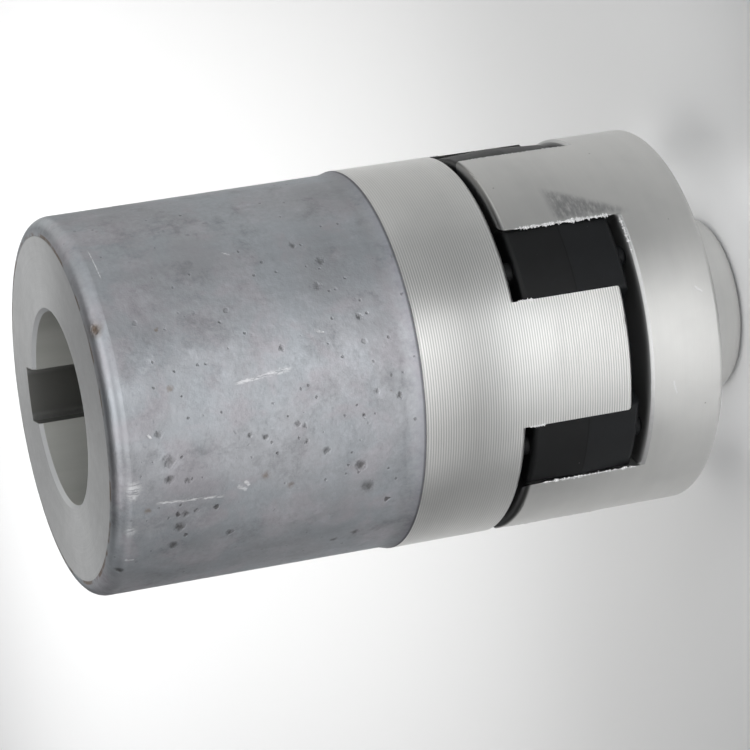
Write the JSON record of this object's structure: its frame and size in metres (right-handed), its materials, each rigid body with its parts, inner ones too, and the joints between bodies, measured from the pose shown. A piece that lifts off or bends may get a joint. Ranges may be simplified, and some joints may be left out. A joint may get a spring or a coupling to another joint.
{
  "type": "elastic jaw coupling",
  "caption": "Shaft coupling with a long cast hub and a short turned hub whose jaws mesh through a black elastomer spider, with keyed bores at both ends.",
  "frame": {"origin": "centre of the short hub's boss end, on the surface that the coupling stands on", "axes": "+Z along the shaft axis from the short hub to the long hub, +Y towards both keyways, +X completes the right-handed frame"},
  "size_m": [0.056, 0.056, 0.102],
  "materials": {
    "cast_alloy": "dull as-cast barrel with a finely turned band and jaws",
    "turned_alloy": "finely turned",
    "black_elastomer": "moulded, satin black",
    "screw_steel": "black oxide"
  },
  "bodies": {
    "root": {"long_hub": "cast_alloy", "short_hub": "turned_alloy", "spider": "black_elastomer", "long_hub_screw": "screw_steel", "short_hub_screw": "screw_steel"}
  },
  "joints": []
}
